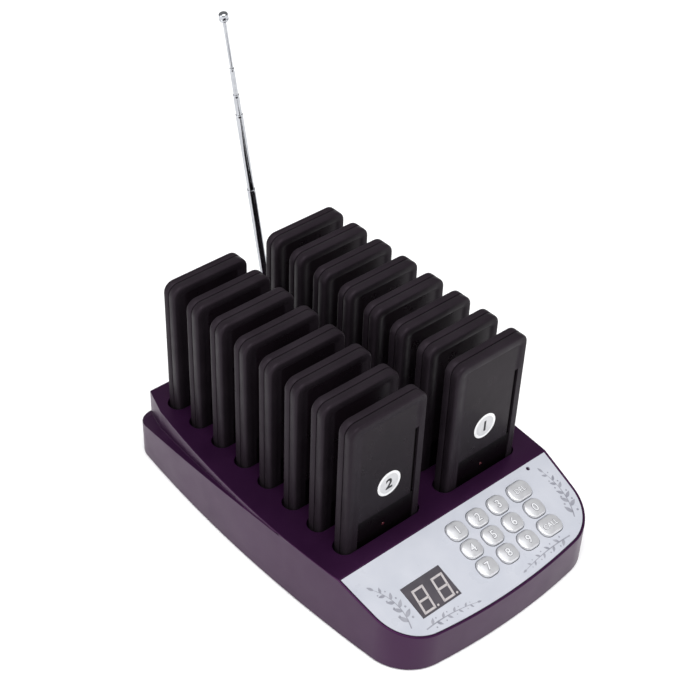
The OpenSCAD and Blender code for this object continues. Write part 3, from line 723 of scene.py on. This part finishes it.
def window_floor(ring, start, z):
    """Points and faces of the window's floor, as rows from the left side of its last ring to the right one.

    Ring points mirror left to right, so each row joins equal heights. Between them a row has a step down from
    the frame to the pane or band, and near its right end a step down into the slit.
    """
    count = len(ring)
    half = count // 2
    right_x = ring[:half, 0]
    rise = z[:half]
    y = -PAGER_T / 2 + window_sink(rise)
    inner = [np.column_stack([-right_x + BAND_SIDE, -PAGER_T / 2 + np.full(half, PANE_SUNK), rise]),
             np.column_stack([-right_x + BAND_SIDE + CHAMFER, y, rise]),
             np.column_stack([right_x - SLIT_W - CHAMFER, y, rise]),
             np.column_stack([right_x - SLIT_W, -PAGER_T / 2 + slit_sink(rise), rise])]
    first = start + count
    columns = [start + count - 1 - np.arange(half)] + [first + k * half + np.arange(half) for k in range(4)]
    columns.append(start + np.arange(half))
    faces, slots = [], []
    for k, (left, right) in enumerate(zip(columns[:-1], columns[1:])):
        for i in range(half - 1):
            faces.append([int(right[i]), int(right[i + 1]), int(left[i + 1]), int(left[i])])
            # the slit's wall and floor take the lamp's deep black: painted shade of the groove
            in_band = k in (1, 2, 3, 4) and rise[i] < BAND_TOP - STEP_ROOM
            in_slit = k in (3, 4) and BAND_TOP - STEP_ROOM < rise[i] < SLIT_TOP - STEP_ROOM
            plain = PANE_SLOT if k == 2 else SHELL_SLOT
            slots.append(LAMP_AND_SLIT_SHADE_SLOT if in_band or in_slit else plain)
    return np.concatenate(inner), faces, slots


def pager_shell(number, side):
    """One half shell; the front one has a window with a pane, a slit beside it and the lamp's band.

    The rear one has a plain foot. It lacks the two wells that the solid has for the charging contacts, so
    the contacts' tips stand inside it at rest.
    """
    rings = shell_rings(side)
    count = len(rings[0])
    if side < 0:
        half_w = PAGER_W / 2 - WINDOW_FRAME
        half_h = (PAGER_H - WINDOW_FOOT - WINDOW_FRAME) / 2
        middle = WINDOW_FOOT + half_h
        for t, sunk in [(0.0, 0.0), (0.1, 1.0)]:
            ring = rounded_ring(half_w - t, half_h - t, 2.0 - t, levels=LEVELS - middle)
            z = ring[:, 1] + middle
            depth = np.where(ring[:, 0] > 0, slit_sink(z), PANE_SUNK)
            rings.append(np.column_stack([ring[:, 0], -PAGER_T / 2 + sunk * depth, z]))
        faces = ring_faces(len(rings), count, cap_end=False)
        inner, floor_faces, floor_slots = window_floor(ring, (len(rings) - 1) * count, z)
        slots = [SHELL_SLOT] * len(faces) + floor_slots
        faces += floor_faces
        points = np.concatenate(rings + [inner])
    else:
        faces = [face[::-1] for face in ring_faces(len(rings), count)]
        slots = [SHELL_SLOT] * len(faces)
        points = np.concatenate(rings)
    name = "front" if side < 0 else "rear"
    made = finish_mesh(f"pager_{number}_{name}_cover", points + pager_place(number), faces,
                       [PAGER, WINDOW, LAMP_ACRYLIC_AND_SLIT_SHADE], slots, sharp_deg=50)
    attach(made, f"pager_{number}")
    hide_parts(f"pager_{number}_{name}_shell")


def disc(name, radius, thickness, place, material, steps=40):
    """Thin round plate whose points are moved by place, with a slightly rounded rim."""
    angle = np.linspace(0, 2 * np.pi, steps, endpoint=False)
    circle = np.stack([np.cos(angle), np.sin(angle)], axis=-1)
    rings = [np.column_stack([circle * (radius - t), np.full(steps, h)])
             for t, h in [(0, 0), (0, thickness * 0.6), (0.06, thickness)]]
    return finish_mesh(name, place(np.concatenate(rings)), ring_faces(len(rings), steps), [material])


def pager_front_details(number, label, aside):
    """Number sticker on the window, a little aside of its middle, and the lamp near its foot."""
    foot = pager_place(number)

    def on_window(across, height):
        def place(p):
            z = height + p[:, 1]
            y = -PAGER_T / 2 + window_sink(z) - p[:, 2]
            return np.column_stack([across + p[:, 0], y, z]) + foot
        return place

    on_sticker = on_window(aside, POCKET_DEPTH + 32)
    sticker = disc(f"pager_{number}_sticker", 7.4, 0.12, on_sticker, PAPER)
    field = disc(f"pager_{number}_sticker_field", 5.9, 0.02,
                 lambda p: on_sticker(p + [0, 0, 0.12]), GREY_PRINT)
    digits = text_mesh(f"pager_{number}_number", label, 8.8, 0.06,
                       lambda p: on_sticker(p + [0, 0, 0.17]), TONER, bold=0.26)
    lamp = disc(f"pager_{number}_lamp", 0.7, 0.3, on_window(0.1, POCKET_DEPTH + 5.5), LENS, steps=20)
    for piece in (sticker, field, digits, lamp):
        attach(piece, f"pager_{number}")


for number in range(1, 2 * ROWS + 1):
    column, row = divmod(number - 1, ROWS)
    for side in (-1, 1):
        pager_shell(number, side)
    pager_front_details(number, str(2 * row + 2 - column), aside=(2.0, -0.5)[column])


# ---------- Antenna ----------

def tube_rings(k):
    """Radius and height pairs of one tube, from its foot up, over its crimped lip and down its bore.

    Heights run along the antenna from its pivot. The last tube is solid and carries a ribbed cap.
    """
    radius = TUBE_D / 2 - (k - 1) * TUBE_STEP / 2
    top = TUBE_L + sum(SHOWS[:k])
    foot = 0.5 if k == 1 else top - (TUBE_L - TUBE_STOP - (k - 2) * TUBE_SHORTER)
    if k == len(SHOWS):
        cap = [(CAP_R - 0.5, 0.0), (CAP_R - 0.12, 0.12), (CAP_R, 0.5), (CAP_R, 1.2),
               (CAP_R - 0.2, 1.4), (CAP_R, 1.6), (CAP_R, CAP_H - 1.0), (CAP_R - 0.25, CAP_H - 0.45),
               (CAP_R - 0.8, CAP_H - 0.1), (CAP_R - 1.4, CAP_H)]
        return [(radius, foot), (radius, top)] + [(r, top + rise) for r, rise in cap]
    bore = radius - TUBE_STEP / 2 + TUBE_GAP
    plug = 6.0 if k == 1 else foot + 1.0
    crimp = [(radius, top - 2.2), (radius - 0.1, top - 1.8), (radius - 0.1, top - 1.5), (radius, top - 1.1)]
    lip = [(radius, top - 0.4), (radius - 0.06, top - 0.12), (radius - 0.16, top),
           (bore + 0.04, top), (bore, top - 0.06)]
    return [(radius, foot)] + crimp + lip + [(bore, plug)]


def antenna_tubes():
    """Tubes swept round the antenna's own line, from the swivel's pivot along the slides' direction."""
    joints = {joint["name"]: joint for joint in frame["joints"]}
    pivot = np.array(joints["antenna_swivel"]["pos_m"]) / MM
    along = np.array(joints["antenna_slide_2"]["axis"])
    depth = np.array([0.0, 1.0, 0.0])
    across = np.cross(depth, along)
    steps = 40
    angle = np.linspace(0, 2 * np.pi, steps, endpoint=False)
    spokes = np.cos(angle)[:, None] * across + np.sin(angle)[:, None] * depth
    for k in range(1, len(SHOWS) + 1):
        rings = np.array(tube_rings(k))
        points = pivot + rings[:, 0, None, None] * spokes + rings[:, 1, None, None] * along
        faces = [face[::-1] for face in ring_faces(len(rings), steps)]
        made = finish_mesh(f"antenna_section_{k}_tube", points.reshape(-1, 3), faces, [CHROME], sharp_deg=50)
        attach(made, "antenna" if k == 1 else f"antenna_section_{k}")
        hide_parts(f"antenna_tube_{k}")


antenna_tubes()


# ---------- Floor, light and camera ----------

def aim_light(light, place):
    """Put a light at a place and turn it towards the origin."""
    lamp = bpy.data.objects.new(light.name, light)
    lamp.location = place
    lamp.rotation_euler = (-lamp.location.normalized()).to_track_quat("-Z", "Y").to_euler()
    bpy.context.scene.collection.objects.link(lamp)


def studio():
    """Pale floor under a wide, soft light from above, with dim surroundings and two low soft boxes."""
    half = 40.0
    mesh = bpy.data.meshes.new("studio_floor")
    corners = [(-half, -half, 0), (half, -half, 0), (half, half, 0), (-half, half, 0)]
    mesh.from_pydata(corners, [], [(0, 1, 2, 3)])
    mesh.materials.append(studio_paper())
    floor = bpy.data.objects.new("studio_floor", mesh)
    bpy.context.scene.collection.objects.link(floor)
    world = bpy.data.worlds.new("white_surroundings")
    world.use_nodes = True
    world.node_tree.nodes["Background"].inputs["Color"].default_value = (1.0, 1.0, 1.0, 1.0)
    world.node_tree.nodes["Background"].inputs["Strength"].default_value = 0.3
    bpy.context.scene.world = world
    wide = bpy.data.lights.new("wide_light_above", "SUN")
    wide.angle = math.radians(55)
    wide.energy = 3.2
    aim_light(wide, (-0.3, -0.4, 1.5))
    for name, place, size, power in [("soft_box_left", (-1.3, 0.2, 0.6), 1.0, 7.0),
                                     ("soft_box_front_right", (0.5, -1.3, 0.6), 1.0, 4.0)]:
        light = bpy.data.lights.new(name, "AREA")
        light.shape = "SQUARE"
        light.size = size
        light.energy = power
        aim_light(light, place)



def camera():
    """Camera at the photograph's angle: pose, focal length and crop fitted to its points."""
    data = bpy.data.cameras.new("photo_camera")
    data.sensor_width = 36.0
    data.lens = 78.69
    data.shift_x = 0.1306
    data.shift_y = 0.0098
    data.clip_start, data.clip_end = 0.05, 30.0
    made = bpy.data.objects.new("photo_camera", data)
    made.location = (-0.39716, -0.41419, 0.57213)
    made.rotation_euler = Euler([math.radians(a) for a in (50.635, 0.440, -38.543)])
    bpy.context.scene.collection.objects.link(made)
    bpy.context.scene.camera = made


studio()
camera()
bpy.context.scene.view_settings.view_transform = "Standard"
